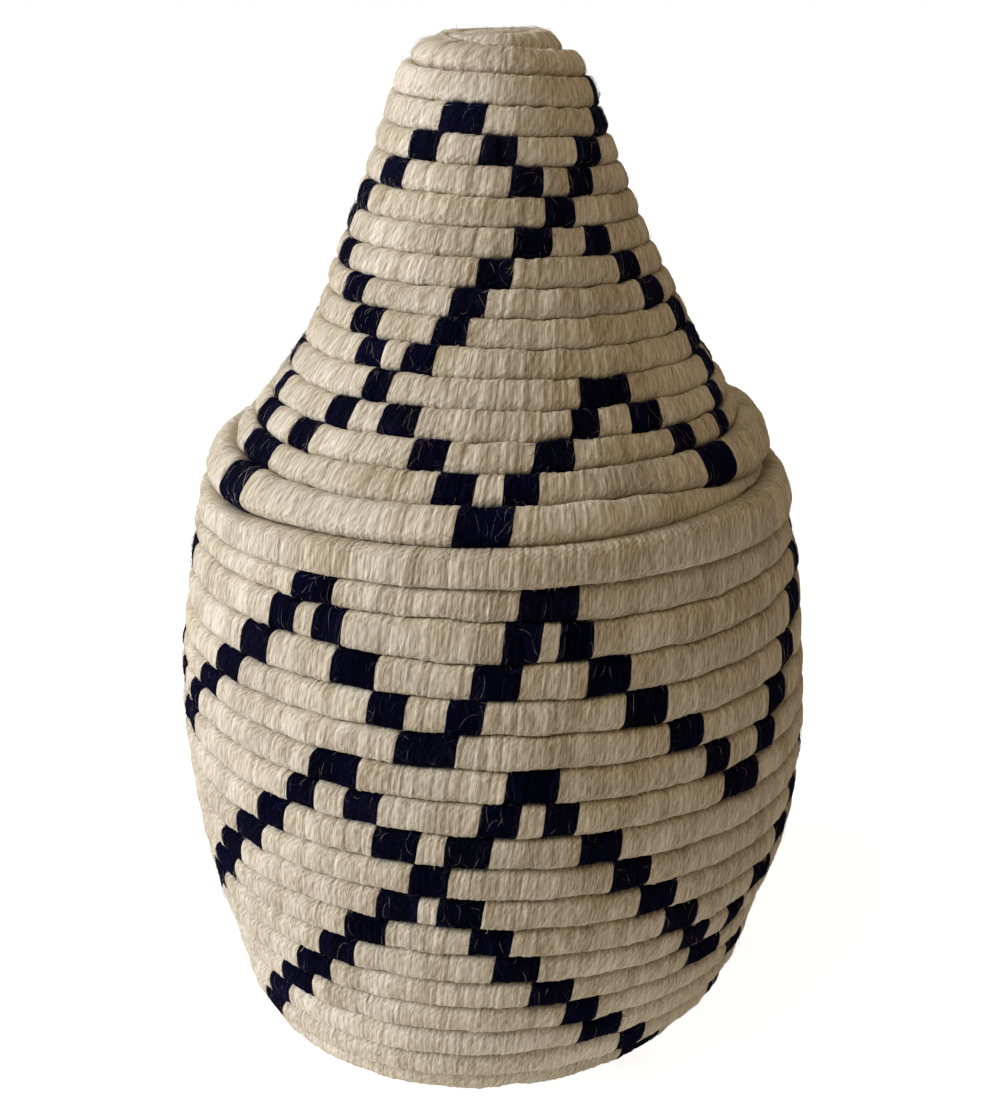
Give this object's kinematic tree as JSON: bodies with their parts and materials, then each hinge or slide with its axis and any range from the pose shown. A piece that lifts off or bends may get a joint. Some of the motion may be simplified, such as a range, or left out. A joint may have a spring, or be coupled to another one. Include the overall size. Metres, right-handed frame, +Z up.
{
  "type": "lidded coiled basket",
  "caption": "Tall round coiled basket with a waisted, flaring lid that lifts off, wrapped in cream wool with navy zigzag lines.",
  "frame": {"origin": "on the ground under the middle of the basket, where its coil starts", "axes": "+Z up along the basket's axis, -Y towards the pictured side"},
  "size_m": [0.2508, 0.2508, 0.3916],
  "materials": {
    "basket_wool": "matt wool yarn wrapped round a coiled bundle, cream with navy zigzag lines",
    "lid_wool": "matt wool yarn wrapped round a coiled bundle, cream with navy zigzag lines",
    "knot_wool": "matt wool yarn, wound over the start of the coil",
    "plain_wool": "matt wool yarn wrapped round a coiled bundle, plain cream"
  },
  "bodies": {
    "basket": {"base_coil": "basket_wool", "base_start_knot": "knot_wool", "lower_wall_coil": "basket_wool", "belly_coil": "basket_wool", "shoulder_coil": "basket_wool", "rim_coil": "basket_wool"},
    "lid": {"lid_foot_coil": "lid_wool", "lid_flare_coil": "lid_wool", "lid_cone_coil": "lid_wool", "lid_neck_coil": "lid_wool", "lid_top_coil": "lid_wool", "lid_start_knot": "knot_wool", "lid_locating_ring": "plain_wool"}
  },
  "joints": [
    {"name": "lid_lift", "type": "slide", "parent": "basket", "child": "lid", "axis": [0, 0, 1], "range_m": [0, 0.16]}
  ]
}
